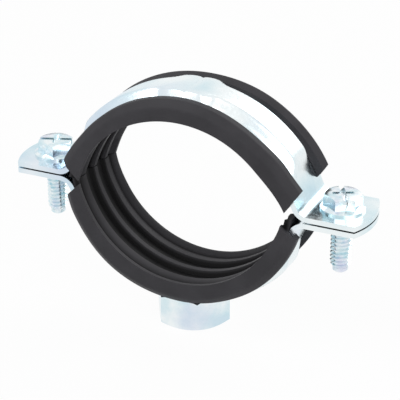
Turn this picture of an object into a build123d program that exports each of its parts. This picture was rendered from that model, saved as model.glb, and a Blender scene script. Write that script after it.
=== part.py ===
"""Rubber lined pipe clamp: two beaded steel half straps with bent-out ears, a ribbed
rubber channel liner in each half, two flanged machine screws and a hex weld nut.

Millimetres, +Z up.  The pipe runs along Y and the ears point along X.  The origin is the
centre of the weld nut's lower face.  Each half is drawn about the parting plane, as an arc
whose centre lies past that plane, so the closed clamp has a lens-shaped opening that a
pipe pushes open.
"""
import math
import os

from build123d import *

# ---- pipe seat -------------------------------------------------------------------------
upper_seat_radius = 28.2    # arc centre to the upper liner's inner edges
upper_offset = 8.5          # the upper half's arc centre lies this far below the parting plane
lower_seat_radius = 26.4
lower_offset = 4.5          # the lower half's arc centre lies this far above it

# ---- steel straps ----------------------------------------------------------------------
strap_width = 17.0
strap_thickness = 1.25
ear_gap = 0.4               # between the two ear plates of a closed clamp
bend_radius = 3.0           # hollow side of the bend between arc and ear
screw_bend_gap = 0.0763     # from the end of the upper ear's bend to the screw's flange
ear_overhang = 7.9          # screw's axis to the tip of the ear
ear_tip_radius = 19.0       # plan radius of the ear's end

# ---- pressed stiffening bead -----------------------------------------------------------
bead_height = 1.8
bead_foot_width = 10.0
bead_top_width = 5.2
bead_corner_radius = 1.1
bead_end_angle = 63.0       # from the crown, where the bead has run out
bead_ramp_angle = 13.0      # over which it runs out
bead_flank_wall = 1.125     # wall across both flanks: pressing stretches the sheet thinner
bead_root = 0.6             # bead's body is drawn from this far inside the sheet's face
crown_flat_depth = 0.2      # upper strap's bead is pressed flat by this much at its crown
crease_depth = 0.3          # notch across that flat
crease_width = 1.8

# ---- rubber liners ---------------------------------------------------------------------
liner_width = 20.0
liner_web = 2.65            # inner edge of the liner to the strap's inner face
lip_rise = 1.5              # lip above the strap's outer face
lip_width = 3.5             # lip's reach in from the liner's side face
lip_slope_width = 1.4       # slope over the lip's outer corner
lip_slope_height = 1.9
upper_back_flare = 1.0      # outer corner of the upper liner's back lip stands this much higher
lip_corner_radius = 0.5     # rounding at both ends of that slope
strap_play = 0.08           # all round the strap in its groove
rib_pitch = 5.6
rib_crest_width = 1.4
rib_root_width = 2.6
rib_inset = 0.5             # rib crests lie this far outside the liner's inner edges
groove_depth = 1.3          # below the rib crests
edge_land = 0.9             # flat width of the liner's inner edges
edge_valley = 0.5           # depth of the valley between an edge and the nearest rib
liner_end_play = 0.15       # end of a liner's web to the parting plane
lip_end_height = 0.6        # end of the lips at the inner edge, from the parting plane
lip_end_clearance = 1.5     # degrees the lips stop short of the strap's reverse bend
upper_liner_shift = 4.5     # degrees the upper liner's right end stops short

# ---- clamp screws ----------------------------------------------------------------------
shank_diameter = 5.0
screw_length = 16.0         # under the flange
thread_play = 0.05          # radial, shank in the tapped hole of the lower ear
clearance_hole = 5.5        # in the upper ear
flange_diameter = 10.6
flange_thickness = 1.1
flange_rim = 0.5            # upright part of the flange's edge
hex_across_flats = 8.0
head_height = 3.9           # flange and hexagon together
head_crown_diameter = 7.8   # flat on top of the hexagon
head_chamfer_angle = 30.0
point_diameter = 3.7
point_length = 1.2
point_taper = 1.0
point_chamfer = 0.4
slot_width = 1.2
slot_depth = 1.3
cross_width = 1.05
cross_span = 5.0
cross_depth = 2.2
cross_floor_diameter = 1.3
left_screw_turned = -69.0   # degrees each head has been turned, slot along Y at 0
right_screw_turned = 27.0

# ---- weld nut --------------------------------------------------------------------------
nut_across_flats = 17.0
nut_height = 8.0
nut_bore = 8.5              # tapping size of an M10 thread
nut_countersink = 10.4
nut_face_diameter = 16.7    # round face left flat at each end
nut_chamfer_angle = 30.0
pad_sink = 0.2              # bead's crown pressed flat by this much under the nut

# ---- derived sizes ---------------------------------------------------------------------
ear_floor = ear_gap / 2
ear_top = ear_floor + strap_thickness
bend_centre_z = ear_top + bend_radius

REACH = 200.0               # longer than any part of the clamp, for cutting tools
OVERRUN = 0.1               # a cutting tool starts this far outside what it cuts
TRIM_ANGLE = 4.0            # extra sweep past an end that is cut back again


def in_side_view(x, z):
    """A point of the side view, which is drawn in the XZ plane."""
    return Vector(x, 0, z)


class Half:
    """Arcs of one half in the side view, about a centre below the parting plane."""

    def __init__(self, seat_radius, centre_offset):
        self.seat = seat_radius
        self.offset = centre_offset
        self.band_inner = seat_radius + liner_web
        self.band_outer = self.band_inner + strap_thickness
        self.lip_top = self.band_outer + lip_rise
        self.bead_top = self.band_outer + bead_height
        # Reverse bend between arc and ear: its centre follows from both tangencies.
        rise = bend_centre_z + centre_offset
        self.bend_centre_x = math.sqrt((self.band_outer + bend_radius) ** 2 - rise ** 2)
        self.bend_angle = math.degrees(math.atan2(self.bend_centre_x, rise))

    def on_arc(self, radius, angle):
        """Side-view point on a circle of this half, angle in degrees from the crown."""
        turn = math.radians(angle)
        return in_side_view(radius * math.sin(turn), radius * math.cos(turn) - self.offset)

    def arc(self, radius, angle_a, angle_b):
        """Arc of the side view about the half's own centre."""
        middle = (angle_a + angle_b) / 2
        return ThreePointArc(*(self.on_arc(radius, a) for a in (angle_a, middle, angle_b)))

    def bend(self, side, radius, from_ring):
        """Arc of the reverse bend, between the ring and the ear on one side."""
        def at(angle):
            turn = math.radians(angle)
            return in_side_view(side * (self.bend_centre_x - radius * math.sin(turn)),
                                bend_centre_z - radius * math.cos(turn))
        angles = (self.bend_angle, self.bend_angle / 2, 0)
        return ThreePointArc(*(at(a) for a in (angles if from_ring else reversed(angles))))

    def swept(self, outline, angle_a, angle_b):
        """Section in (y, radius), turned about the half's axis between two angles."""
        axis = Axis((0, 0, -self.offset), (0, 1, 0))
        ring = revolve(outline, axis=axis, revolution_arc=angle_b - angle_a)
        return ring.rotate(axis, angle_a)

    def section(self, points, fillet_radius, rounded):
        """Face in the YZ plane from (y, radius) points; the listed corners are rounded."""
        corners = [Vector(0, y, radius - self.offset) for y, radius in points]
        face = make_face(Polyline(*corners, close=True)).face()
        picked = [v for v in face.vertices()
                  if any((Vector(v.X, v.Y, v.Z) - corners[i]).length < 1e-6 for i in rounded)]
        return face.fillet_2d(fillet_radius, picked)


upper = Half(upper_seat_radius, upper_offset)
lower = Half(lower_seat_radius, lower_offset)
pad_z = lower.bead_top - lower.offset - pad_sink        # weld pad, from the parting plane
parting_z = nut_height + pad_z
screw_x = max(upper.bend_centre_x, lower.bend_centre_x) + screw_bend_gap + flange_diameter / 2
ear_reach = screw_x + ear_overhang


def strap_side_face(half):
    """Side view of one half strap: arc, two reverse bends and two ears."""
    inner_bend = bend_radius + strap_thickness
    lower_right = half.bend(1, inner_bend, True)
    lower_left = half.bend(-1, inner_bend, False)
    upper_right = half.bend(1, bend_radius, False)
    upper_left = half.bend(-1, bend_radius, True)
    right_tip = [in_side_view(ear_reach, z) for z in (ear_floor, ear_top)]
    left_tip = [in_side_view(-ear_reach, z) for z in (ear_floor, ear_top)]
    edges = [
        half.arc(half.band_inner, -half.bend_angle, half.bend_angle),
        lower_right,
        Line(lower_right @ 1, right_tip[0]),
        Line(right_tip[0], right_tip[1]),
        Line(right_tip[1], upper_right @ 0),
        upper_right,
        half.arc(half.band_outer, half.bend_angle, -half.bend_angle),
        upper_left,
        Line(upper_left @ 1, left_tip[1]),
        Line(left_tip[1], left_tip[0]),
        Line(left_tip[0], lower_left @ 0),
        lower_left,
    ]
    return make_face(edges)


def slab(face, width):
    """Side-view face made solid, centred on the middle plane."""
    return extrude(face, amount=width / 2, dir=(0, 1, 0), both=True)


def beyond_line(inner, outer, side):
    """Everything on the outer side of a side-view line, on one side of the clamp."""
    along = (outer - inner).normalized() * REACH
    across = Vector(along.Z, 0, -along.X) * side
    corners = [inner - along, outer + along, outer + along + across, inner - along + across]
    return slab(make_face(Polyline(*corners, close=True)), REACH)


def ear_plan():
    """Plan of the strap with its rounded ear ends, as a tall prism."""
    side = strap_width / 2
    corner = ear_reach - (ear_tip_radius - math.sqrt(ear_tip_radius ** 2 - side ** 2))
    edges = [
        Line((-corner, -side), (corner, -side)),
        ThreePointArc((corner, -side), (ear_reach, 0), (corner, side)),
        Line((corner, side), (-corner, side)),
        ThreePointArc((-corner, side), (-ear_reach, 0), (-corner, -side)),
    ]
    return extrude(make_face(edges), amount=REACH, dir=(0, 0, 1), both=True)


def bead_solid(half, foot_radius, crest_radius, foot_width, top_width):
    """Bead body between two radii, with feet wider than its top and run-out ends."""
    root_radius = foot_radius - bead_root
    outline = half.section([
        (-foot_width / 2, root_radius),
        (foot_width / 2, root_radius),
        (foot_width / 2, foot_radius),
        (top_width / 2, crest_radius),
        (-top_width / 2, crest_radius),
        (-foot_width / 2, foot_radius),
    ], bead_corner_radius, rounded=(3, 4))
    sweep_end = bead_end_angle + TRIM_ANGLE
    bead = half.swept(outline, -sweep_end, sweep_end)
    for side in (-1, 1):
        foot = half.on_arc(foot_radius, side * bead_end_angle)
        crest = half.on_arc(crest_radius, side * (bead_end_angle - bead_ramp_angle))
        bead -= beyond_line(foot, crest, side)
    return bead


def above_crown(crest_height):
    """Everything above a flat across the crown."""
    return Pos(0, 0, crest_height + REACH / 2) * Box(REACH, REACH, REACH)


def crown_crease(crest_height):
    """Wedge that notches the bead across its crown."""
    reach = crease_width / 2
    wedge = make_face(Polyline(in_side_view(-reach, crest_height + OVERRUN),
                               in_side_view(0, crest_height - crease_depth),
                               in_side_view(reach, crest_height + OVERRUN), close=True))
    return slab(wedge, REACH)


def half_strap(half, hole_diameter, crown_tool):
    """One pressed half strap above the parting plane, with a hole in each ear."""
    outer = bead_solid(half, half.band_outer, half.bead_top, bead_foot_width, bead_top_width)
    hollow = bead_solid(half, half.band_inner, half.bead_top - strap_thickness,
                        bead_foot_width - bead_flank_wall, bead_top_width - bead_flank_wall)
    crown = half.bead_top - half.offset
    outer -= crown_tool(crown)
    hollow -= crown_tool(crown - strap_thickness)
    strap = (slab(strap_side_face(half), strap_width) + outer) & ear_plan()
    strap -= hollow
    for side in (-1, 1):
        strap -= Pos(side * screw_x, 0, ear_floor) * Cylinder(hole_diameter / 2, REACH)
    return strap


def upper_strap():
    """Upper half strap, its bead flattened and creased across the crown."""
    def crown_tool(crest):
        flat = crest - crown_flat_depth
        return above_crown(flat) + crown_crease(flat)
    return half_strap(upper, clearance_hole, crown_tool)


def lower_strap():
    """Lower half strap, still above the parting plane; its crown is pressed flat for the nut."""
    return half_strap(lower, shank_diameter + 2 * thread_play,
                      lambda crest: above_crown(crest - pad_sink))


def liner_section(half, back_flare):
    """Section of the rubber channel; only its lips differ between front and back."""
    side = liner_width / 2
    lip_edge = side - lip_width
    groove_side = strap_width / 2 + strap_play
    floor = half.band_inner - strap_play
    ceiling = half.band_outer + strap_play
    crest = half.seat + rib_inset
    root = crest + groove_depth
    valley = crest + edge_valley
    half_crest = rib_crest_width / 2
    half_root = rib_root_width / 2
    slope_end = side - lip_slope_width
    right = [
        (half_crest, crest),
        (half_root, root),
        (rib_pitch - half_root, root),
        (rib_pitch - half_crest, crest),
        (rib_pitch + half_crest, crest),
        ((rib_pitch + half_crest + side - edge_land) / 2, valley),
        (side - edge_land, half.seat),
        (side, half.seat),
        (side, half.lip_top - lip_slope_height),
        (slope_end, half.lip_top),
        (lip_edge, half.lip_top),
        (lip_edge, ceiling),
        (groove_side, ceiling),
        (groove_side, floor),
    ]
    left = [(-y, radius) for y, radius in reversed(right)]
    fold = right.index((side, half.lip_top - lip_slope_height))
    flared = right[:fold]
    flared += [(y, radius + back_flare) for y, radius in right[fold:fold + 2]]
    flared += right[fold + 2:]
    mirrored_fold = len(right) + len(left) - 1 - fold
    return half.section(flared + left, lip_corner_radius,
                        rounded=(fold, fold + 1, mirrored_fold, mirrored_fold - 1))


def lip_end_tool(half, side, shift):
    """Everything past the line that ends a liner's lips, from its inner edge out to their tops."""
    foot_angle = math.degrees(math.acos((half.offset + lip_end_height) / half.seat))
    lip_angle = half.bend_angle - lip_end_clearance
    foot = half.on_arc(half.seat, side * (foot_angle - shift))
    lip = half.on_arc(half.band_outer, side * (lip_angle - shift))
    return beyond_line(foot, lip, side)


def liner(half, right_shift, back_flare):
    """One rubber liner above the parting plane; its web reaches down almost to that plane."""
    sweep_end = half.bend_angle + TRIM_ANGLE
    body = half.swept(liner_section(half, back_flare), -sweep_end, sweep_end)
    body &= Pos(0, 0, liner_end_play + REACH / 2) * Box(REACH, REACH, REACH)
    web = Pos(0, 0, -half.offset) * Rot(90, 0, 0) * Cylinder(half.band_inner, strap_width)
    body -= lip_end_tool(half, -1, 0.0) - web
    right_end = lip_end_tool(half, 1, right_shift)
    return body - (right_end if right_shift else right_end - web)


def corner_radius(across_flats):
    """Distance from a hexagon's centre to its corners."""
    return across_flats / 2 / math.cos(math.pi / 6)


def hex_prism(across_flats, height):
    """Hexagonal prism standing on z = 0 with two flats facing along Y."""
    return extrude(RegularPolygon(corner_radius(across_flats), 6), amount=height)


def turned(points):
    """Solid turned about Z from an outline of (radius, z) points."""
    outline = Polyline(*(in_side_view(x, z) for x, z in points), close=True)
    return revolve(make_face(outline), axis=Axis.Z)


def screw():
    """Flanged screw with its flange resting on z = 0 and its point down."""
    flange_radius = flange_diameter / 2
    shank_radius = shank_diameter / 2
    point_radius = point_diameter / 2
    body = turned([
        (0, head_height), (shank_radius, head_height), (shank_radius, flange_thickness),
        (hex_across_flats / 2, flange_thickness),
        (flange_radius, flange_rim), (flange_radius, 0), (shank_radius, 0),
        (shank_radius, -screw_length + point_length + point_taper),
        (point_radius, -screw_length + point_length),
        (point_radius, -screw_length + point_chamfer),
        (point_radius - point_chamfer, -screw_length), (0, -screw_length),
    ])
    corner = corner_radius(hex_across_flats)
    crown = head_crown_diameter / 2
    drop = (corner - crown) * math.tan(math.radians(head_chamfer_angle))
    dome = turned([(0, 0), (corner, 0), (corner, head_height - drop), (crown, head_height),
                   (0, head_height)])
    body += hex_prism(hex_across_flats, head_height) & dome
    slot = Box(slot_width, flange_diameter, 2 * slot_depth)
    wing = Box(cross_span, cross_width, 2 * cross_depth)
    taper = Pos(0, 0, -cross_depth / 2) * Cone(cross_floor_diameter / 2, cross_span / 2, cross_depth)
    cross = (wing + Rot(0, 0, 90) * wing) & taper
    return body - Pos(0, 0, head_height) * (slot + cross)


def weld_nut():
    """Weld nut standing on z = 0: hexagon chamfered at both ends, bored and countersunk."""
    corner = corner_radius(nut_across_flats)
    face = nut_face_diameter / 2
    drop = (corner - face) * math.tan(math.radians(nut_chamfer_angle))
    barrel = turned([(0, 0), (face, 0), (corner, drop), (corner, nut_height - drop),
                     (face, nut_height), (0, nut_height)])
    body = hex_prism(nut_across_flats, nut_height) & barrel
    body -= Cylinder(nut_bore / 2, 3 * nut_height)
    sink = (nut_countersink - nut_bore) / 2
    mouth = Cone(nut_countersink / 2, nut_bore / 2, sink,
                 align=(Align.CENTER, Align.CENTER, Align.MIN))
    body -= mouth
    body -= Pos(0, 0, nut_height) * Rot(180, 0, 0) * mouth
    return body


def place_upper(shape):
    """Lift an upper-half shape to the parting plane's height."""
    return Pos(0, 0, parting_z) * shape


def place_lower(shape):
    """Turn a half over about Y and bring it up to the parting plane's height."""
    return Pos(0, 0, parting_z) * Rot(0, 180, 0) * shape


def place_screw(side, angle):
    """Seat a screw on the upper ear on one side of the clamp, with its head turned."""
    return Pos(side * screw_x, 0, parting_z + ear_top) * Rot(0, 0, angle) * screw()


parts = {
    "weld_nut": weld_nut(),
    "lower_strap": place_lower(lower_strap()),
    "lower_liner": place_lower(liner(lower, 0.0, 0.0)),
    "upper_strap": place_upper(upper_strap()),
    "upper_liner": place_upper(liner(upper, upper_liner_shift, upper_back_flare)),
    "left_screw": place_screw(-1, left_screw_turned),
    "right_screw": place_screw(1, right_screw_turned),
}

os.makedirs("parts", exist_ok=True)
for name, shape in parts.items():
    export_step(shape, f"parts/{name}.step")
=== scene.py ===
"""Looks of a rubber lined pipe clamp, modelled piece by piece over its CAD solids.

Every piece is modelled in metres in the part's own frame: the pipe runs along Y, the ears
point along X, and the weld nut's lower face is at z = 0.  Each half of the clamp is drawn
above the parting plane; the lower one is then turned over about the pipe.
"""

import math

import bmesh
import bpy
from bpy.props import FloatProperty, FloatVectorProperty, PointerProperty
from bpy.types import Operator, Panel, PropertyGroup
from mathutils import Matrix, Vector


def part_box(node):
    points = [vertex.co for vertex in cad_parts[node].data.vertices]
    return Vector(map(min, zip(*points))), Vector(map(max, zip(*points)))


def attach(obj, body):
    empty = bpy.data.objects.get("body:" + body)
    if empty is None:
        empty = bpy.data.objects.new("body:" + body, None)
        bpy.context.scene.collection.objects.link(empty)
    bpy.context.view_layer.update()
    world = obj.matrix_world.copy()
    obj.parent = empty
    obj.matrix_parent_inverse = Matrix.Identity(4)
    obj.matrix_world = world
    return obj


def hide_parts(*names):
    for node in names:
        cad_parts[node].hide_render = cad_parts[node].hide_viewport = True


bl_info = {
    "name": "Rubber Lined Pipe Clamp",
    "version": (1, 0, 0),
    "blender": (4, 5, 0),
    "location": "3D View > Sidebar > Pipe Clamp",
    "description": "Pressed straps, ribbed rubber liners, flanged screws and a weld nut",
    "category": "Add Mesh",
}

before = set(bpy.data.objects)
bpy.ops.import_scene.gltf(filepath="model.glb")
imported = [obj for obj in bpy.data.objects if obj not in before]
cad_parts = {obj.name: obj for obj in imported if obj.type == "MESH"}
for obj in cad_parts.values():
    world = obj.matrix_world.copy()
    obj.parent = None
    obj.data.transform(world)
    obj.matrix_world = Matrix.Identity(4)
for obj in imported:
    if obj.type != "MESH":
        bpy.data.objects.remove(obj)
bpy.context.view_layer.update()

MM = 0.001
Y_AXIS, Z_AXIS = Vector((0, 1, 0)), Vector((0, 0, 1))

# Places read from the CAD solids.
UPPER_STRAP_LOW, UPPER_STRAP_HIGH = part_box("upper_strap")
LOWER_STRAP_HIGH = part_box("lower_strap")[1]
LINER_LOW, LINER_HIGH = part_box("upper_liner")
LEFT_SCREW_LOW, LEFT_SCREW_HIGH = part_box("left_screw")
RIGHT_SCREW_LOW, RIGHT_SCREW_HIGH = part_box("right_screw")
NUT_LOW, NUT_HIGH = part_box("weld_nut")
PARTING_Z = (UPPER_STRAP_LOW.z + LOWER_STRAP_HIGH.z) / 2
EAR_FLOOR = UPPER_STRAP_LOW.z - PARTING_Z
EAR_REACH = UPPER_STRAP_HIGH.x
STRAP_WIDTH = UPPER_STRAP_HIGH.y - UPPER_STRAP_LOW.y
LINER_WIDTH = LINER_HIGH.y - LINER_LOW.y
SCREW_X = (RIGHT_SCREW_LOW.x + RIGHT_SCREW_HIGH.x) / 2


def length(name, description, default):
    """A length that a user can set, stored in metres."""
    return FloatProperty(name=name, description=description, default=default, min=0.0,
                         precision=5, unit="LENGTH")


def turn(name, description, degrees):
    """An angle that a user can set."""
    return FloatProperty(name=name, description=description, default=math.radians(degrees),
                         subtype="ANGLE")


def tint(name, description, default):
    """A surface colour that a user can set."""
    return FloatVectorProperty(name=name, description=description, default=default, size=3,
                               min=0.0, max=1.0, subtype="COLOR")


def share(name, description, default):
    """A factor between 0 and 1."""
    return FloatProperty(name=name, description=description, default=default, min=0.0, max=1.0,
                         subtype="FACTOR")


class PIPECLAMP_PG_strap(PropertyGroup):
    """Sizes of the two pressed steel half straps."""
    width: length("Width", "Width of the strap along the pipe", STRAP_WIDTH)
    thickness: length("Thickness", "Thickness of the steel sheet", 1.25 * MM)
    upper_radius: length("Upper radius", "Seat radius of the upper half", 28.2 * MM)
    upper_offset: length("Upper offset", "Upper arc centre past the parting plane", 8.5 * MM)
    lower_radius: length("Lower radius", "Seat radius of the lower half", 26.4 * MM)
    lower_offset: length("Lower offset", "Lower arc centre past the parting plane", 4.5 * MM)
    bend_radius: length("Bend radius", "Hollow side of the bend into the ear", 3.0 * MM)
    ear_reach: length("Ear reach", "Clamp middle to the tip of an ear", EAR_REACH)
    tip_radius: length("Ear tip radius", "Plan radius of the ear's end", 19.0 * MM)
    upper_hole: length("Upper ear hole", "Clearance hole for the screw", 5.5 * MM)
    lower_hole: length("Lower ear hole", "Tapped hole for the screw", 5.1 * MM)
    bead_height: length("Bead height", "Stiffening bead above the outer face", 2.5 * MM)
    bead_foot: length("Bead foot width", "Width of the bead where it rises", 11.6 * MM)
    bead_top: length("Bead top width", "Width of the flat on the bead", 6.6 * MM)
    bead_end: turn("Bead end", "Angle from the crown where the bead has run out", 63.0)
    bead_ramp: turn("Bead run-out", "Angle over which the bead runs out", 13.0)
    crown_flat: length("Crown flat", "The upper bead is flattened by this at its crown", 0.2 * MM)
    pad_length: length("Pad length", "Length of the wider pad at the upper crown", 7.0 * MM)
    pad_width: length("Pad width", "Width of that pad along the pipe", 10.4 * MM)
    crease_depth: length("Crease depth", "Notch across the crown's flat", 0.3 * MM)
    crease_width: length("Crease width", "Width of that notch", 1.8 * MM)
    edge_round: length("Edge rounding", "Rounding left by stamping and plating, at most", 0.22 * MM)


class PIPECLAMP_PG_liner(PropertyGroup):
    """Sizes of the ribbed rubber channel that lines each half strap."""
    width: length("Width", "Width of the liner along the pipe", LINER_WIDTH)
    web: length("Web", "Inner edge to the strap's inner face", 2.65 * MM)
    lip_rise: length("Lip rise", "Lip above the strap's outer face", 1.5 * MM)
    lip_width: length("Lip width", "Lip's reach in from the side face", 3.5 * MM)
    slope_width: length("Slope width", "Slope over the lip's outer corner", 1.4 * MM)
    slope_height: length("Slope height", "Height of that slope", 1.9 * MM)
    slope_round: length("Slope rounding", "Rounding at both ends of that slope", 0.5 * MM)
    back_flare: length("Back flare", "The upper back lip's outer corner stands higher", 1.0 * MM)
    play: length("Play", "Gap all round the strap in its groove", 0.08 * MM)
    rib_pitch: length("Rib pitch", "Distance between ribs", 5.6 * MM)
    rib_crest: length("Rib crest width", "Flat top of a rib", 1.4 * MM)
    rib_root: length("Rib root width", "Foot of a rib", 2.6 * MM)
    rib_inset: length("Rib inset", "Rib crests outside the inner edges", 0.5 * MM)
    groove_depth: length("Groove depth", "Grooves below the rib crests", 1.3 * MM)
    edge_land: length("Edge land", "Flat width of an inner edge", 0.9 * MM)
    edge_valley: length("Edge valley", "Valley beside an inner edge", 0.5 * MM)
    web_end: length("Web end", "End of the web, from the parting plane", 0.05 * MM)
    lip_foot: length("Lip foot", "End of the lips at the inner edge", 0.6 * MM)
    lip_end: turn("Lip end", "The lips stop short of the strap's bend by this", 0.4)
    short_end: turn("Short end", "The upper liner's right end stops short by this", 2.7)
    edge_round: length("Edge rounding", "Small rounding of every moulded edge, at most", 0.18 * MM)


class PIPECLAMP_PG_screw(PropertyGroup):
    """Sizes of the two flanged clamp screws."""
    shank: length("Shank diameter", "Outer diameter of the thread", 5.0 * MM)
    root: length("Root diameter", "Diameter between the threads", 4.1 * MM)
    pitch: length("Pitch", "Distance between threads", 1.0 * MM)
    under_head: length("Length", "Length under the flange", 16.0 * MM)
    flange: length("Flange diameter", "Diameter of the flange", 10.6 * MM)
    flange_height: length("Flange height", "Flange thickness at the hexagon", 1.1 * MM)
    flange_rim: length("Flange rim", "Upright part of the flange's edge", 0.5 * MM)
    flats: length("Across flats", "Width of the hexagon", 8.0 * MM)
    head: length("Head height", "Flange and hexagon together", 3.9 * MM)
    crown: length("Crown diameter", "Flat on top of the hexagon", 7.8 * MM)
    chamfer: turn("Head chamfer", "Slope of the chamfer round the crown", 30.0)
    point: length("Point diameter", "Diameter of the screw's point", 3.7 * MM)
    point_length: length("Point length", "Plain end below the threads", 1.2 * MM)
    point_taper: length("Point taper", "Height over which the threads run out", 1.0 * MM)
    slot_width: length("Slot width", "Width of the slot", 1.2 * MM)
    slot_depth: length("Slot depth", "Depth of the slot", 1.3 * MM)
    cross_width: length("Cross width", "Width of a wing of the cross recess", 1.05 * MM)
    cross_span: length("Cross span", "Across the wings of the cross recess", 5.0 * MM)
    cross_depth: length("Cross depth", "Depth of the cross recess", 2.2 * MM)
    left_turned: turn("Left screw turned", "Turn of the left screw's head", -69.0)
    right_turned: turn("Right screw turned", "Turn of the right screw's head", 27.0)
    edge_round: length("Edge rounding", "Rounding left by forming and plating, at most", 0.07 * MM)


class PIPECLAMP_PG_nut(PropertyGroup):
    """Sizes of the weld nut."""
    flats: length("Across flats", "Width of the hexagon", NUT_HIGH.y - NUT_LOW.y)
    height: length("Height", "Height of the nut", NUT_HIGH.z - NUT_LOW.z)
    face: length("Face diameter", "Round face left flat at the open end", 16.7 * MM)
    top_face: length("Top face diameter", "Round face left flat at the welded end", 18.7 * MM)
    chamfer: turn("Chamfer", "Slope of the chamfer at each end", 30.0)
    edge_round: length("Edge rounding", "Rounding of the hexagon's corners, at most", 0.22 * MM)
    bore: length("Bore", "Inner diameter of the thread", 8.5 * MM)
    thread: length("Thread diameter", "Outer diameter of the thread", 9.9 * MM)
    countersink: length("Countersink", "Diameter of the countersunk mouth", 10.4 * MM)
    pitch: length("Pitch", "Distance between threads", 1.5 * MM)


class PIPECLAMP_PG_finish(PropertyGroup):
    """Colours and gloss of the two materials."""
    zinc: tint("Zinc", "Colour of the plated steel", (0.84, 0.89, 0.90))
    # partly painted shade: the blue and violet casts are the plating's own tint and also stand in
    # for darker reflections
    zinc_blue_tint_and_shade: tint("Zinc passivation", "Blue cast of the passivated plating", (0.46, 0.69, 0.77))
    zinc_violet_tint_and_shade: tint("Zinc lustre", "Violet cast of thicker plating", (0.67, 0.68, 0.82))
    zinc_rough: share("Zinc roughness", "Roughness of the plated steel", 0.20)
    rubber: tint("Rubber", "Colour of the rubber", (0.036, 0.035, 0.039))
    rubber_rough: share("Rubber roughness", "Roughness of the rubber", 0.52)
    rubber_gloss: share("Rubber gloss", "Specular level of the rubber", 0.14)
    # painted shade: how dark the grooves are painted, standing in for the shade that falls in them
    painted_groove_shade: share("Groove shade", "Brightness of the grooves beside the other rubber", 0.12)


class PIPECLAMP_PG_stage(PropertyGroup):
    """Camera and studio."""
    azimuth: turn("Azimuth", "Camera round the clamp, 0 looks along the pipe", 25.0)
    elevation: turn("Elevation", "Camera above the horizon", 25.0)
    distance: length("Distance", "Camera to the middle of the parting plane", 360.9 * MM)
    lens: FloatProperty(name="Lens", description="Focal length of the camera", default=135.0,
                        unit="CAMERA")
    aside: length("Aside", "Middle of the clamp left of the picture's middle", 1.54 * MM)
    above: length("Above", "Middle of the clamp above the picture's middle", 3.61 * MM)
    floor_size: length("Floor size", "Side of the square floor", 6.0)
    floor_white: share("Floor white", "White that the floor shows besides its shadows", 0.95)
    ambient: share("Ambient", "Light that the white surroundings give", 0.42)


GROUPS = {"strap": PIPECLAMP_PG_strap, "liner": PIPECLAMP_PG_liner, "screw": PIPECLAMP_PG_screw,
          "nut": PIPECLAMP_PG_nut, "finish": PIPECLAMP_PG_finish, "stage": PIPECLAMP_PG_stage}


def settings(group):
    """One group of the clamp's settings in the current scene."""
    return getattr(bpy.context.scene, "pipe_clamp_" + group)


class Half:
    """Arcs of the upper or the lower half, about a centre below the parting plane."""

    def __init__(self, name):
        strap, liner = settings("strap"), settings("liner")
        self.offset = getattr(strap, name + "_offset")
        self.seat = getattr(strap, name + "_radius")
        self.strap_inner = self.seat + liner.web
        self.strap_outer = self.strap_inner + strap.thickness
        self.lip_top = self.strap_outer + liner.lip_rise
        self.bend_z = EAR_FLOOR + strap.thickness + strap.bend_radius
        reach, rise = self.strap_outer + strap.bend_radius, self.bend_z + self.offset
        self.bend_x = math.sqrt(reach ** 2 - rise ** 2)
        self.bend_angle = math.atan2(self.bend_x, rise)
        self.centre = Vector((0, 0, -self.offset))

    def on_arc(self, radius, angle):
        """Point of the side view; angle from the crown."""
        return self.centre + radius * Vector((math.sin(angle), 0, math.cos(angle)))


# ---- mesh helpers ----------------------------------------------------------------------

MERGE = 1e-7                # vertices nearer than this are one
ROUND_ABOVE = math.radians(40)      # edges that turn by less than this aren't rounded
RING_STEPS = 72             # segments round a turned surface
THREAD_STEPS = 48           # segments in one turn of a thread
BEVEL_STEPS = 3             # segments over a rounded edge


def smooth(t):
    """0 to 1 with level ends."""
    t = min(1.0, max(0.0, t))
    return t * t * (3 - 2 * t)


def chain(bm, points):
    """An open line of edges through a few points, as geometry to spin or extrude."""
    verts = [bmesh.ops.create_vert(bm, co=p)["vert"][0] for p in points]
    edges = [bm.edges.new(pair) for pair in zip(verts, verts[1:])]
    return verts + edges


def clean(bm):
    """Merge doubles and turn every face outwards."""
    bmesh.ops.remove_doubles(bm, verts=bm.verts[:], dist=MERGE)
    bmesh.ops.recalc_face_normals(bm, faces=bm.faces[:])
    return bm


def turned(points):
    """Closed solid turned about Z from an outline of (radius, z) points."""
    bm = bmesh.new()
    outline = chain(bm, [(radius, 0, z) for radius, z in points])
    bmesh.ops.spin(bm, geom=outline, cent=(0, 0, 0), axis=Z_AXIS, angle=math.tau,
                   steps=RING_STEPS, use_merge=True)
    return clean(bm)


def hexagon(flats, low, high):
    """Hexagonal prism about Z with two flats facing along Y."""
    bm = bmesh.new()
    made = bmesh.ops.create_circle(bm, cap_ends=True, segments=6,
                                   radius=flats / 2 / math.cos(math.pi / 6))
    bmesh.ops.rotate(bm, verts=made["verts"], cent=(0, 0, 0),
                     matrix=Matrix.Rotation(math.pi / 6, 3, "Z"))
    bmesh.ops.translate(bm, verts=made["verts"], vec=(0, 0, low))
    risen = bmesh.ops.extrude_face_region(bm, geom=bm.faces[:])["geom"]
    bmesh.ops.translate(bm, verts=[v for v in risen if isinstance(v, bmesh.types.BMVert)],
                        vec=(0, 0, high - low))
    return clean(bm)


def block(size, centre=(0, 0, 0)):
    """Box of a given size."""
    bm = bmesh.new()
    made = bmesh.ops.create_cube(bm, size=1.0)
    bmesh.ops.scale(bm, verts=made["verts"], vec=size)
    bmesh.ops.translate(bm, verts=made["verts"], vec=centre)
    return bm


def trim(bm, point, normal):
    """Cut away what lies past a plane and close the cut."""
    cut = bmesh.ops.bisect_plane(bm, geom=bm.verts[:] + bm.edges[:] + bm.faces[:], dist=MERGE,
                                 plane_co=point, plane_no=normal, clear_outer=True)
    rim = [e for e in cut["geom_cut"] if isinstance(e, bmesh.types.BMEdge)]
    bmesh.ops.contextual_create(bm, geom=rim)


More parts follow.
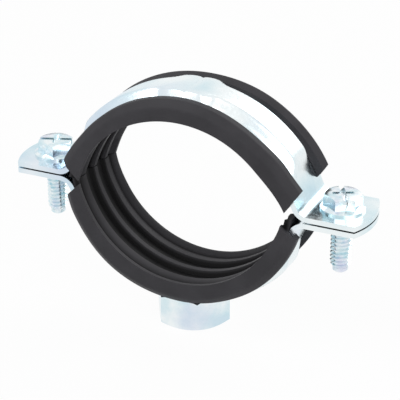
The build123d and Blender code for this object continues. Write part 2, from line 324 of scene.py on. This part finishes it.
def helix(root, crest, pitch, low, high):
    """Threaded rod about Z between two heights, with a right-hand thread."""
    crest_flat, root_flat = pitch / 6, pitch / 5
    flank = (pitch - crest_flat - root_flat) / 2
    turns = math.ceil((high - low) / pitch) + 2
    start = low - 1.5 * pitch
    bm = bmesh.new()
    profile = chain(bm, [(root, 0, start), (root, 0, start + root_flat),
                         (crest, 0, start + root_flat + flank),
                         (crest, 0, start + pitch - flank), (root, 0, start + pitch)])
    bmesh.ops.spin(bm, geom=profile, cent=(0, 0, 0), axis=Z_AXIS, angle=math.tau * turns,
                   steps=THREAD_STEPS * turns, dvec=(0, 0, pitch / THREAD_STEPS))
    bmesh.ops.remove_doubles(bm, verts=bm.verts[:], dist=MERGE)
    trim(bm, (0, 0, high), Z_AXIS)
    trim(bm, (0, 0, low), -Z_AXIS)
    return clean(bm)


def mesh_object(bm, name):
    """Mesh object made from a bmesh, linked to the scene."""
    mesh = bpy.data.meshes.new(name)
    bm.to_mesh(mesh)
    bm.free()
    piece = bpy.data.objects.new(name, mesh)
    bpy.context.scene.collection.objects.link(piece)
    return piece


def combined(bm, tool, operation):
    """One solid joined with, cut by or kept within another."""
    body, other = mesh_object(bm, "body"), mesh_object(tool, "tool")
    step = body.modifiers.new(operation.title(), "BOOLEAN")
    step.operation, step.object, step.solver = operation, other, "EXACT"
    evaluated = body.evaluated_get(bpy.context.evaluated_depsgraph_get())
    result = bmesh.new()
    result.from_mesh(evaluated.to_mesh())
    evaluated.to_mesh_clear()
    for spent in (body, other):
        mesh = spent.data
        bpy.data.objects.remove(spent)
        bpy.data.meshes.remove(mesh)
    if not result.faces:
        raise RuntimeError(f"{operation.lower()} left nothing of the solid")
    return result


def finish_piece(bm, name, body, node, material, rounding):
    """Turn a solid into a finished piece that stands for a node of the part."""
    if bm.calc_volume(signed=True) < 0:
        bmesh.ops.reverse_faces(bm, faces=bm.faces[:])
    piece = mesh_object(bm, name)
    piece.data.materials.append(material)
    piece.data.shade_smooth()
    edges = piece.modifiers.new("Rounded edges", "BEVEL")
    edges.limit_method, edges.angle_limit = "ANGLE", ROUND_ABOVE
    edges.width, edges.segments = rounding, BEVEL_STEPS
    edges.miter_outer = "MITER_ARC"
    edges.use_clamp_overlap = True      # narrows the rounding to fit the shortest edge
    edges.harden_normals = True
    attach(piece, body)
    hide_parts(node)


def raised(bm):
    """Lift an upper-half solid from the parting plane to its height."""
    bmesh.ops.translate(bm, verts=bm.verts[:], vec=(0, 0, PARTING_Z))


def turned_over(bm):
    """Turn an upper-half solid over about the pipe and lift it to the parting plane."""
    bmesh.ops.rotate(bm, verts=bm.verts[:], cent=(0, 0, 0),
                     matrix=Matrix.Rotation(math.pi, 3, "Y"))
    raised(bm)


# ---- materials -------------------------------------------------------------------------

def fill(tree, socket, value):
    """Link a socket, or set its value."""
    if isinstance(value, bpy.types.NodeSocket):
        tree.links.new(value, socket)
    else:
        socket.default_value = value


def add(tree, kind, props=None, **sockets):
    """A node with some properties set and its sockets filled with values or links."""
    node = tree.nodes.new("ShaderNode" + kind)
    for key, value in (props or {}).items():
        setattr(node, key, value)
    for key, value in sockets.items():
        fill(tree, node.inputs[key.replace("_", " ")], value)
    return node


def new_material(name):
    """Empty node material with its node tree."""
    material = bpy.data.materials.get(name) or bpy.data.materials.new(name)
    material.use_nodes = True
    material.node_tree.nodes.clear()
    return material, material.node_tree


def colour(rgb, factor=1.0):
    """Colour with its alpha, as a socket takes it, made paler or darker by a factor."""
    return (*(channel * factor for channel in rgb), 1.0)


def noise(tree, place, size, detail=4.0, roughness=0.5):
    """Noise over the piece, with features of about one size."""
    return add(tree, "TexNoise", Vector=place, Scale=1 / size, Detail=detail,
               Roughness=roughness).outputs["Fac"]


def ranged(tree, value, seen, wanted):
    """A value moved from one range to another."""
    return add(tree, "MapRange", Value=value, From_Min=seen[0], From_Max=seen[1],
               To_Min=wanted[0], To_Max=wanted[1]).outputs["Result"]


def calculated(tree, operation, first, second=0.0):
    """Two values or links put through a Math node."""
    node = add(tree, "Math", {"operation": operation})
    fill(tree, node.inputs[0], first)
    fill(tree, node.inputs[1], second)
    return node.outputs[0]


def mixed(tree, factor, first, second):
    """Two colours mixed by a factor, through the Mix node's sockets for colours."""
    node = add(tree, "Mix", {"data_type": "RGBA"})
    for index, value in ((0, factor), (6, first), (7, second)):
        fill(tree, node.inputs[index], value)
    return node.outputs[2]


def bumps(tree, height, strength, depth, below=None):
    """Normal that follows a height, on top of the bumps below."""
    node = add(tree, "Bump", Strength=strength, Distance=depth, Height=height)
    if below:
        tree.links.new(below, node.inputs["Normal"])
    return node.outputs["Normal"]


def zinc_material(name, cast, patch_size):
    """Bright blue-passivated zinc plating with a fine satin grain; its blue and violet patches are
    partly its tint, partly painted shade.
    """
    finish = settings("finish")
    material, tree = new_material(name)
    place = add(tree, "TexCoord").outputs["Object"]
    tint_and_shade_patches = noise(tree, place, patch_size, detail=3.0)
    tint_and_shade_streaks = noise(tree, place, 2.2 * patch_size, detail=2.0)
    grain = noise(tree, place, 0.6 * MM, roughness=0.6)
    speckle = noise(tree, place, 0.12 * MM, detail=2.0)
    # blue and violet patches: partly the passivation's tint, partly painted shade standing in for
    # darker reflections
    blue = ranged(tree, tint_and_shade_patches, (0.38, 0.68), (0.0, cast))
    violet = ranged(tree, tint_and_shade_streaks, (0.5, 0.75), (0.0, cast))
    base = mixed(tree, blue, colour(finish.zinc), colour(finish.zinc_blue_tint_and_shade))
    base = mixed(tree, violet, base, colour(finish.zinc_violet_tint_and_shade))
    rough = ranged(tree, grain, (0.3, 0.75), (finish.zinc_rough - 0.06, finish.zinc_rough + 0.10))
    normal = bumps(tree, grain, strength=0.12, depth=0.03 * MM)
    normal = bumps(tree, speckle, strength=0.08, depth=0.01 * MM, below=normal)
    shader = add(tree, "BsdfPrincipled", Base_Color=base, Metallic=1.0, Roughness=rough,
                 Normal=normal)
    add(tree, "OutputMaterial", Surface=shader.outputs["BSDF"])
    return material


def painted_shade_mask(tree, half, radius, place_y):
    """Where shade is painted: 1 in the liner's grooves, 0 on its rib crests, its side faces and its
    lips.
    """
    liner = settings("liner")
    crest, root = half.seat + liner.rib_inset, half.seat + liner.rib_inset + liner.groove_depth
    side, land = liner.width / 2, liner.edge_land
    depth = ranged(tree, radius, (crest, (crest + root) / 2), (0.0, 1.0))
    inside = ranged(tree, radius, (root, half.strap_inner), (1.0, 0.0))
    aside = calculated(tree, "ABSOLUTE", place_y)
    within = ranged(tree, aside, (side - land, side - land / 2), (1.0, 0.0))
    return calculated(tree, "MULTIPLY", calculated(tree, "MULTIPLY", depth, inside), within)


def rubber_material(name, half, arc_centre_z):
    """Black extruded rubber with a matt skin, faint drawing lines along its arc and painted shade
    in its grooves.
    """
    finish = settings("finish")
    material, tree = new_material(name)
    place = add(tree, "TexCoord").outputs["Object"]
    x, y, z = add(tree, "SeparateXYZ", Vector=place).outputs
    height = calculated(tree, "SUBTRACT", z, arc_centre_z)
    arm = add(tree, "VectorMath", {"operation": "LENGTH"})
    tree.links.new(add(tree, "CombineXYZ", X=x, Y=height).outputs["Vector"], arm.inputs[0])
    radius = arm.outputs["Value"]
    along = calculated(tree, "MULTIPLY", calculated(tree, "ARCTAN2", x, height), 1.0 * MM)
    drawn = add(tree, "CombineXYZ", X=radius, Y=y, Z=along).outputs["Vector"]
    lines = noise(tree, drawn, 0.7 * MM, detail=3.0)
    skin = noise(tree, place, 0.12 * MM, roughness=0.6)
    bloom = noise(tree, place, 9.0 * MM, roughness=0.55)
    pale = colour(finish.rubber, factor=1.7)
    # painted shade: the rubber's colour darkened for the grooves
    painted_shade_colour = colour(finish.rubber, factor=finish.painted_groove_shade)
    bloomed = ranged(tree, bloom, (0.35, 0.7), (0.0, 0.5))
    base = mixed(tree, bloomed, colour(finish.rubber), pale)
    # painted shade: the grooves' colour is darkened where shade falls in them
    base = mixed(tree, painted_shade_mask(tree, half, radius, y), base, painted_shade_colour)
    rough = ranged(tree, bloom, (0.3, 0.7), (finish.rubber_rough - 0.06,
                                             finish.rubber_rough + 0.08))
    normal = bumps(tree, lines, strength=0.18, depth=0.05 * MM)
    normal = bumps(tree, skin, strength=0.3, depth=0.02 * MM, below=normal)
    shader = add(tree, "BsdfPrincipled", Base_Color=base, Roughness=rough,
                 Specular_IOR_Level=finish.rubber_gloss, Normal=normal)
    add(tree, "OutputMaterial", Surface=shader.outputs["BSDF"])
    return material


# ---- straps ----------------------------------------------------------------------------

STRAP_COLUMNS = 44          # across the strap
ARC_STEPS = 60              # crown to bend
BEND_STEPS = 14
EAR_STEPS = 10


def strap_sheet(half):
    """Outer face of a strap from its crown to one ear's tip, mirrored to the other."""
    strap = settings("strap")
    crown = half.strap_outer - half.offset
    bm = bmesh.new()
    chain(bm, [(0, -strap.width / 2, crown), (0, strap.width / 2, crown)])
    bmesh.ops.subdivide_edges(bm, edges=bm.edges[:], cuts=STRAP_COLUMNS - 1)
    row = bm.verts[:] + bm.edges[:]
    row = bmesh.ops.spin(bm, geom=row, cent=half.centre, axis=Y_AXIS, angle=half.bend_angle,
                         steps=ARC_STEPS)["geom_last"]
    row = bmesh.ops.spin(bm, geom=row, cent=(half.bend_x, 0, half.bend_z), axis=Y_AXIS,
                         angle=-half.bend_angle, steps=BEND_STEPS)["geom_last"]
    for step in range(EAR_STEPS):
        edges = [e for e in row if isinstance(e, bmesh.types.BMEdge)]
        row = bmesh.ops.extrude_edge_only(bm, edges=edges)["geom"]
        for v in (v for v in row if isinstance(v, bmesh.types.BMVert)):
            sagitta = strap.tip_radius - math.sqrt(strap.tip_radius ** 2 - v.co.y ** 2)
            v.co.x += (strap.ear_reach - sagitta - half.bend_x) / EAR_STEPS
    bmesh.ops.mirror(bm, geom=bm.verts[:] + bm.edges[:] + bm.faces[:], axis="X",
                     merge_dist=MERGE)
    return bm


def raise_bead(bm, half, pad_width, crown_height):
    """Press the bead out of the sheet; its flat is pad_width wide at the crown.

    crown_height(x) is how high above the parting plane the bead may reach.
    """
    strap = settings("strap")
    foot, top = strap.bead_foot / 2, strap.bead_top / 2
    for v in bm.verts:
        outward = Vector((v.co.x, 0, v.co.z)) - half.centre
        angle = abs(math.atan2(outward.x, outward.z))
        wider = smooth(2 - 2 * abs(v.co.x) / strap.pad_length) * (pad_width / 2 - top) / 2
        rise = smooth((foot + wider - abs(v.co.y)) / (foot - top - wider))
        rise *= smooth((strap.bead_end - angle) / strap.bead_ramp)
        if rise > 0:
            outward.normalize()
            room = (crown_height(v.co.x) + half.offset) / outward.z - half.strap_outer
            v.co += outward * max(0.0, min(rise * strap.bead_height, room))


def half_strap(half, hole, pad_width, crown_height):
    """One half strap above the parting plane, with a hole in each ear."""
    strap = settings("strap")
    bm = strap_sheet(half)
    raise_bead(bm, half, pad_width, crown_height)
    clean(bm)
    if sum(f.normal.z for f in bm.faces) < 0:
        bmesh.ops.reverse_faces(bm, faces=bm.faces[:])
    bmesh.ops.solidify(bm, geom=bm.faces[:], thickness=strap.thickness)
    clean(bm)
    drill_depth = 8 * strap.thickness
    for side in (-1, 1):
        drill = bmesh.new()
        bmesh.ops.create_cone(drill, cap_ends=True, segments=RING_STEPS, radius1=hole / 2,
                              radius2=hole / 2, depth=drill_depth,
                              matrix=Matrix.Translation((side * SCREW_X, 0, EAR_FLOOR)))
        bm = combined(bm, drill, "DIFFERENCE")
    return bm


def upper_strap():
    """Upper half strap, its bead flattened and lightly creased at the crown."""
    strap, half = settings("strap"), Half("upper")
    flat = half.strap_outer - half.offset + strap.bead_height - strap.crown_flat

    def creased(x):
        return flat - strap.crease_depth * (1 - smooth(2 * abs(x) / strap.crease_width))

    bm = half_strap(half, strap.upper_hole, strap.pad_width, creased)
    raised(bm)
    return bm


def lower_strap():
    """Lower half strap, with its crown pressed flat where the nut is welded on."""
    strap = settings("strap")
    bm = half_strap(Half("lower"), strap.lower_hole, strap.bead_top,
                    lambda x: PARTING_Z - NUT_HIGH.z)
    turned_over(bm)
    return bm


# ---- liners ----------------------------------------------------------------------------

LINER_SWEEP = math.radians(88)      # from the crown to each end, before it is cut
LINER_STEPS = 96            # round the whole arc
SLOPE_STEPS = 4             # round each end of a lip's slope
FOOT_SHARE = 1 / 3          # how short a short end's inner edge is, beside its lips
LINER_REACH = 80 * MM       # side of the blocks that cut a liner's ends

# How the clamped rubber lies off its plain arc, as (degrees from the crown, mm outwards)
# for its inner side and its two lips, before the lower half is turned over.
UPPER_FIT = {
    "inner": ((-72, -0.6), (-46, 0.0), (20, 0.0), (45, -0.1), (74, 1.4)),
    "front": ((-72, 0.0), (-50, -0.8), (0, -0.3), (36, -0.8), (54, -0.1), (72, 1.5)),
    "back": ((-40, 0.2), (0, 0.0), (30, 0.4), (60, 0.6), (74, 0.3)),
}
LOWER_FIT = {
    "inner": ((-80, 0.7), (-60, 0.0), (60, 0.0), (80, 0.3)),
    "front": ((-70, -0.3), (-30, -0.1), (0, 0.35), (35, 0.7), (64, 0.2), (74, -0.1)),
    "back": ((0, 0.0), (90, 0.0)),
}


def liner_section(half, back_flare):
    """The rubber channel's section as (y, radius), and the corners of its lips' slopes."""
    liner, strap = settings("liner"), settings("strap")
    side = liner.width / 2
    groove_side = strap.width / 2 + liner.play
    floor, ceiling = half.strap_inner - liner.play, half.strap_outer + liner.play
    crest = half.seat + liner.rib_inset
    root = crest + liner.groove_depth
    half_crest, half_root = liner.rib_crest / 2, liner.rib_root / 2
    valley_y = (liner.rib_pitch + half_crest + side - liner.edge_land) / 2
    ribs = [
        (half_crest, crest), (half_root, root), (liner.rib_pitch - half_root, root),
        (liner.rib_pitch - half_crest, crest), (liner.rib_pitch + half_crest, crest),
        (valley_y, crest + liner.edge_valley), (side - liner.edge_land, half.seat),
        (side, half.seat),
    ]
    slope = [(side, half.lip_top - liner.slope_height), (side - liner.slope_width, half.lip_top)]
    channel = [(side - liner.lip_width, half.lip_top), (side - liner.lip_width, ceiling),
               (groove_side, ceiling), (groove_side, floor)]
    flared = [(y, radius + back_flare) for y, radius in slope]
    right = ribs + flared + channel
    left = [(-y, radius) for y, radius in reversed(ribs + slope + channel)]
    first, last = len(ribs), len(right) + len(channel)
    return right + left, (first, first + 1, last, last + 1)


def beyond_line(inner, outer, side, width):
    """Block on the outer side of a side-view line, on one side of the clamp."""
    along = (outer - inner).normalized()
    across = Vector((along.z, 0, -along.x)) * side
    size = LINER_REACH
    bm = block((size, width, size), (size / 2, 0, 0))
    frame_of_line = Matrix((across, Y_AXIS, along)).transposed().to_4x4()
    bmesh.ops.transform(bm, verts=bm.verts[:],
                        matrix=Matrix.Translation(inner) @ frame_of_line)
    bmesh.ops.recalc_face_normals(bm, faces=bm.faces[:])
    return bm


def eased(angle, knots):
    """Shift at an angle, eased from knot to knot and level past the outer ones."""
    place = math.degrees(angle)
    shift = knots[0][1]
    for (start, low), (end, high) in zip(knots, knots[1:]):
        if place > start:
            shift = low + (high - low) * smooth((place - start) / (end - start))
    return shift * MM


def settle(bm, half, fit):
    """Move a liner's inner side and its lips as the clamped rubber lies."""
    liner, strap = settings("liner"), settings("strap")
    floor, ceiling = half.strap_inner - liner.play, half.strap_outer + liner.play
    groove_side = strap.width / 2 + liner.play
    for v in bm.verts:
        outward = Vector((v.co.x, 0, v.co.z)) - half.centre
        angle, radius = math.atan2(outward.x, outward.z), outward.length
        shift = 0.0
        if radius < floor - MERGE:
            shift = eased(angle, fit["inner"]) * (floor - radius) / liner.web
        elif radius > ceiling + MERGE or abs(v.co.y) > groove_side + MERGE:
            shift = eased(angle, fit["front" if v.co.y < 0 else "back"])
        v.co += outward * shift / radius


def web_core(half):
    """Cylinder of the web and the back side wall, which a cut through the lips leaves."""
    width = settings("strap").width
    bm = bmesh.new()
    bmesh.ops.create_cone(bm, cap_ends=True, segments=4 * RING_STEPS, depth=2 * width,
                          radius1=half.strap_inner, radius2=half.strap_inner,
                          matrix=Matrix.Translation(half.centre + Y_AXIS * width / 2)
                          @ Matrix.Rotation(math.pi / 2, 4, "X"))
    return bm


def liner_piece(half, fit, right_short, back_flare):
    """One rubber liner above the parting plane; its right end may stop short."""
    liner = settings("liner")
    points, slope_corners = liner_section(half, back_flare)
    bm = bmesh.new()
    verts = [bmesh.ops.create_vert(bm, co=(0, y, radius - half.offset))["vert"][0]
             for y, radius in points]
    bm.faces.new(verts)
    bmesh.ops.bevel(bm, geom=[verts[i] for i in slope_corners], offset=liner.slope_round,
                    offset_type="OFFSET", segments=SLOPE_STEPS, profile=0.5,
                    affect="VERTICES", material=-1)
    bmesh.ops.rotate(bm, verts=bm.verts[:], cent=half.centre,
                     matrix=Matrix.Rotation(-LINER_SWEEP, 3, "Y"))
    bmesh.ops.spin(bm, geom=bm.verts[:] + bm.edges[:] + bm.faces[:], cent=half.centre,
                   axis=Y_AXIS, angle=2 * LINER_SWEEP, steps=LINER_STEPS)
    clean(bm)
    settle(bm, half, fit)
    trim(bm, (0, 0, liner.web_end), -Z_AXIS)
    clean(bm)
    foot_angle = math.acos((half.offset + liner.lip_foot) / half.seat)
    lip_angle = half.bend_angle - liner.lip_end
    for side, short in ((-1, 0.0), (1, right_short)):
        foot = half.on_arc(half.seat, side * (foot_angle - short * FOOT_SHARE))
        lip = half.on_arc(half.strap_outer, side * (lip_angle - short))
        tool = beyond_line(foot, lip, side, 2 * liner.width)
        if not short:
            tool = combined(tool, web_core(half), "DIFFERENCE")
        bm = combined(bm, tool, "DIFFERENCE")
    return clean(bm)


# ---- fasteners -------------------------------------------------------------------------

THREAD_OVERLAP = 0.1 * MM   # by which a thread reaches into what it joins
CORE_SHARE = 0.96           # plain core inside a thread, as a share of its root
MOUTH_OVERLAP = 0.2 * MM    # by which a countersink runs in past the bore's wall


def threaded_shank(screw, thread_end):
    """The screw's thread, running out in a taper above its point."""
    shank, point, low = screw.shank / 2, screw.point / 2, thread_end - THREAD_OVERLAP
    envelope = turned([(0, screw.flange_rim), (shank, screw.flange_rim),
                       (shank, thread_end + screw.point_taper), (point, thread_end),
                       (point, low), (0, low)])
    thread = helix(screw.root / 2, shank, screw.pitch, thread_end - THREAD_OVERLAP / 2,
                   screw.flange_rim / 2)
    return combined(thread, envelope, "INTERSECT")


def domed_head(screw):
    """The screw's hexagon with a chamfer round its crown."""
    corner, crown = screw.flats / 2 / math.cos(math.pi / 6), screw.crown / 2
    drop = (corner - crown) * math.tan(screw.chamfer)
    dome = turned([(0, 0), (corner, 0), (corner, screw.head - drop), (crown, screw.head),
                   (0, screw.head)])
    return combined(hexagon(screw.flats, screw.flange_rim / 2, screw.head), dome, "INTERSECT")


def recessed(body, screw):
    """Cut the slot and the tapered cross recess in the head."""
    slot = block((screw.slot_width, screw.flange, 2 * screw.slot_depth), (0, 0, screw.head))
    body = combined(body, slot, "DIFFERENCE")
    above, floor = screw.head + screw.cross_depth / 2, screw.head - screw.cross_depth
    wide, narrow = 0.7 * screw.cross_span, 0.6 * screw.cross_width
    taper = turned([(0, above), (wide, above), (narrow, floor), (0, floor)])
    for size in ((screw.cross_span, screw.cross_width), (screw.cross_width, screw.cross_span)):
        wing = block((*size, 2 * screw.cross_depth), (0, 0, screw.head))
        wing = combined(wing, clean(taper.copy()), "INTERSECT")
        body = combined(body, wing, "DIFFERENCE")
    taper.free()
    return body


def screw_solid():
    """Flanged screw with its flange resting on z = 0 and its point down."""
    screw = settings("screw")
    core, point, flange = CORE_SHARE * screw.root / 2, screw.point / 2, screw.flange / 2
    thread_end = -screw.under_head + screw.point_length
    nose = screw.point_length / 3
    body = turned([
        (0, screw.flange_height), (screw.flats / 2, screw.flange_height),
        (flange, screw.flange_rim), (flange, 0), (core, 0),
        (core, thread_end + screw.point_taper), (point, thread_end),
        (point, -screw.under_head + nose), (point - nose, -screw.under_head),
        (0, -screw.under_head)])
    body = combined(body, domed_head(screw), "UNION")
    body = combined(body, threaded_shank(screw, thread_end), "UNION")
    return recessed(body, screw)


def place_screw(bm, low, high, angle):
    """Seat a screw where the part has it, with its head turned."""
    bmesh.ops.rotate(bm, verts=bm.verts[:], cent=(0, 0, 0),
                     matrix=Matrix.Rotation(angle, 3, "Z"))
    seat = high.z - settings("screw").head
    bmesh.ops.translate(bm, verts=bm.verts[:],
                        vec=((low.x + high.x) / 2, (low.y + high.y) / 2, seat))


def nut_solid():
    """Weld nut standing on z = 0: hexagon chamfered at both ends, bored and threaded."""
    nut = settings("nut")
    corner, face, sink = nut.flats / 2 / math.cos(math.pi / 6), nut.face / 2, nut.countersink / 2
    drop = (corner - face) * math.tan(nut.chamfer)
    top = nut.top_face / 2
    barrel = turned([(0, 0), (face, 0), (corner, drop),
                     (corner, nut.height - (corner - top) * math.tan(nut.chamfer)),
                     (top, nut.height), (0, nut.height)])
    body = combined(hexagon(nut.flats, 0, nut.height), barrel, "INTERSECT")
    thread = helix(nut.bore / 2, nut.thread / 2, nut.pitch, -nut.pitch, nut.height + nut.pitch)
    body = combined(body, thread, "DIFFERENCE")
    inner, beyond = nut.bore / 2 - MOUTH_OVERLAP, 1.0 * MM
    for level, inward in ((0, 1), (nut.height, -1)):
        outside, inside = level - inward * beyond, level + inward * (sink - inner)
        mouth = turned([(0, outside), (sink + beyond, outside), (inner, inside), (0, inside)])
        body = combined(body, mouth, "DIFFERENCE")
    return body


# ---- operators -------------------------------------------------------------------------

class PIPECLAMP_OT_straps(Operator):
    """Build the two pressed half straps"""
    bl_idname = "pipeclamp.straps"
    bl_label = "Half Straps"

    def execute(self, context):
        rounding = settings("strap").edge_round
        zinc = zinc_material("zinc_strap", cast=0.8, patch_size=14 * MM)
        finish_piece(upper_strap(), "upper_half_strap", "upper_half", "upper_strap",
                     zinc, rounding)
        finish_piece(lower_strap(), "lower_half_strap", "lower_half", "lower_strap",
                     zinc, rounding)
        return {"FINISHED"}


class PIPECLAMP_OT_liners(Operator):
    """Build the two ribbed rubber liners"""
    bl_idname = "pipeclamp.liners"
    bl_label = "Rubber Liners"

    def execute(self, context):
        liner, above, below = settings("liner"), Half("upper"), Half("lower")
        rubber = rubber_material("rubber_upper", above, PARTING_Z - above.offset)
        upper = liner_piece(above, UPPER_FIT, liner.short_end, liner.back_flare)
        raised(upper)
        finish_piece(upper, "upper_rubber_liner", "upper_half", "upper_liner",
                     rubber, liner.edge_round)
        rubber = rubber_material("rubber_lower", below, PARTING_Z + below.offset)
        lower = liner_piece(below, LOWER_FIT, 0.0, 0.0)
        turned_over(lower)
        finish_piece(lower, "lower_rubber_liner", "lower_half", "lower_liner",
                     rubber, liner.edge_round)
        return {"FINISHED"}


class PIPECLAMP_OT_screws(Operator):
    """Build the two flanged clamp screws"""
    bl_idname = "pipeclamp.screws"
    bl_label = "Clamp Screws"

    def execute(self, context):
        screw = settings("screw")
        zinc = zinc_material("zinc_screw", cast=0.75, patch_size=1.8 * MM)
        for node, low, high, angle in (
                ("left_screw", LEFT_SCREW_LOW, LEFT_SCREW_HIGH, screw.left_turned),
                ("right_screw", RIGHT_SCREW_LOW, RIGHT_SCREW_HIGH, screw.right_turned)):
            bm = screw_solid()
            place_screw(bm, low, high, angle)
            finish_piece(bm, node + "_threaded", node, node, zinc,
                         screw.edge_round)
        return {"FINISHED"}


class PIPECLAMP_OT_nut(Operator):
    """Build the threaded weld nut"""
    bl_idname = "pipeclamp.nut"
    bl_label = "Weld Nut"

    def execute(self, context):
        zinc = zinc_material("zinc_nut", cast=0.7, patch_size=6 * MM)
        finish_piece(nut_solid(), "threaded_weld_nut", "lower_half", "weld_nut",
                     zinc, settings("nut").edge_round)
        return {"FINISHED"}


LAMPS = {                   # side in metres, watts, place
    "key": (0.5, 2.7, (-0.35, -0.35, 0.65)),
    "fill": (0.6, 1.7, (0.55, -0.35, 0.35)),
    "rim": (0.5, 2.0, (0.25, 0.6, 0.5)),
}
SENSOR_WIDTH = 36.0
CLIP_START, CLIP_END = 0.01, 20.0
PAPER, WHITE = (0.8, 0.8, 0.8), (1.0, 1.0, 1.0)


def lamp(name, size, power, place, target):
    """Square soft light aimed at a point."""
    light = bpy.data.lights.new(name, "AREA")
    light.shape, light.size, light.energy = "SQUARE", size, power
    holder = bpy.data.objects.new(name, light)
    bpy.context.scene.collection.objects.link(holder)
    holder.location = place
    holder.rotation_euler = (Vector(target) - Vector(place)).to_track_quat("-Z", "Y").to_euler()


def seen_directly(tree):
    """1 for camera, glossy and transmission rays, 0 for the light itself."""
    path = add(tree, "LightPath").outputs
    either = calculated(tree, "MAXIMUM", path["Is Camera Ray"], path["Is Glossy Ray"])
    return calculated(tree, "MAXIMUM", either, path["Is Transmission Ray"])


def pale_floor(size, white_share):
    """Plain floor that looks white but still takes a soft shadow."""
    bm = bmesh.new()
    bmesh.ops.create_grid(bm, x_segments=1, y_segments=1, size=size / 2)
    floor = mesh_object(bm, "floor")
    material, tree = new_material("pale_floor")
    paper = add(tree, "BsdfDiffuse", Color=colour(PAPER))
    white = add(tree, "Emission", Color=colour(WHITE), Strength=1.0)
    mix = add(tree, "MixShader",
              Fac=calculated(tree, "MULTIPLY", seen_directly(tree), white_share))
    tree.links.new(paper.outputs[0], mix.inputs[1])
    tree.links.new(white.outputs[0], mix.inputs[2])
    add(tree, "OutputMaterial", Surface=mix.outputs[0])
    material.cycles.emission_sampling = "NONE"
    floor.data.materials.append(material)


def white_world(ambient):
    """White surroundings, with a softer level for the light that they give."""
    world = bpy.data.worlds.get("studio") or bpy.data.worlds.new("studio")
    bpy.context.scene.world = world
    world.use_nodes = True
    tree = world.node_tree
    tree.nodes.clear()
    level = ranged(tree, seen_directly(tree), (0.0, 1.0), (ambient, 1.0))
    background = add(tree, "Background", Color=colour(WHITE), Strength=level)
    add(tree, "OutputWorld", Surface=background.outputs[0])


class PIPECLAMP_OT_stage(Operator):
    """Set up the camera, the floor and the soft studio light"""
    bl_idname = "pipeclamp.stage"
    bl_label = "Studio"

    def execute(self, context):
        stage = settings("stage")
        right = Vector((math.cos(stage.azimuth), math.sin(stage.azimuth), 0))
        level = Vector((math.sin(stage.azimuth), -math.cos(stage.azimuth), 0))
        back = level * math.cos(stage.elevation) + Z_AXIS * math.sin(stage.elevation)
        up = back.cross(right)
        data = bpy.data.cameras.new("camera")
        data.lens, data.sensor_width = stage.lens, SENSOR_WIDTH
        data.clip_start, data.clip_end = CLIP_START, CLIP_END
        camera = bpy.data.objects.new("camera", data)
        context.scene.collection.objects.link(camera)
        middle = Vector((0, 0, PARTING_Z))
        centre = middle + right * stage.aside - up * stage.above + back * stage.distance
        camera.matrix_world = (Matrix.Translation(centre)
                               @ Matrix((right, up, back)).transposed().to_4x4())
        context.scene.camera = camera

        pale_floor(stage.floor_size, stage.floor_white)
        white_world(stage.ambient)
        for name, (size, power, place) in LAMPS.items():
            lamp(name, size, power, place, middle)
        context.scene.view_settings.view_transform = "Standard"
        return {"FINISHED"}


class PIPECLAMP_PT_panel(Panel):
    """Panel that lists the clamp's pieces and their sizes"""
    bl_idname = "PIPECLAMP_PT_panel"
    bl_label = "Pipe Clamp"
    bl_space_type = "VIEW_3D"
    bl_region_type = "UI"
    bl_category = "Pipe Clamp"

    def draw(self, context):
        for operator, group in ((PIPECLAMP_OT_straps, "strap"), (PIPECLAMP_OT_liners, "liner"),
                                (PIPECLAMP_OT_screws, "screw"), (PIPECLAMP_OT_nut, "nut"),
                                (PIPECLAMP_OT_stage, "stage"), (None, "finish")):
            box = self.layout.box()
            if operator:
                box.operator(operator.bl_idname)
            for name in GROUPS[group].__annotations__:
                box.prop(settings(group), name)


OPERATORS = (PIPECLAMP_OT_straps, PIPECLAMP_OT_liners, PIPECLAMP_OT_screws, PIPECLAMP_OT_nut,
             PIPECLAMP_OT_stage)


def register():
    for cls in (*GROUPS.values(), *OPERATORS, PIPECLAMP_PT_panel):
        bpy.utils.register_class(cls)
    for group, cls in GROUPS.items():
        setattr(bpy.types.Scene, "pipe_clamp_" + group, PointerProperty(type=cls))


def unregister():
    for group in GROUPS:
        delattr(bpy.types.Scene, "pipe_clamp_" + group)
    for cls in reversed((*GROUPS.values(), *OPERATORS, PIPECLAMP_PT_panel)):
        bpy.utils.unregister_class(cls)


def main():
    """Build every piece."""
    register()
    bpy.ops.pipeclamp.straps()
    bpy.ops.pipeclamp.liners()
    bpy.ops.pipeclamp.screws()
    bpy.ops.pipeclamp.nut()
    bpy.ops.pipeclamp.stage()


if __name__ == "__main__":
    main()
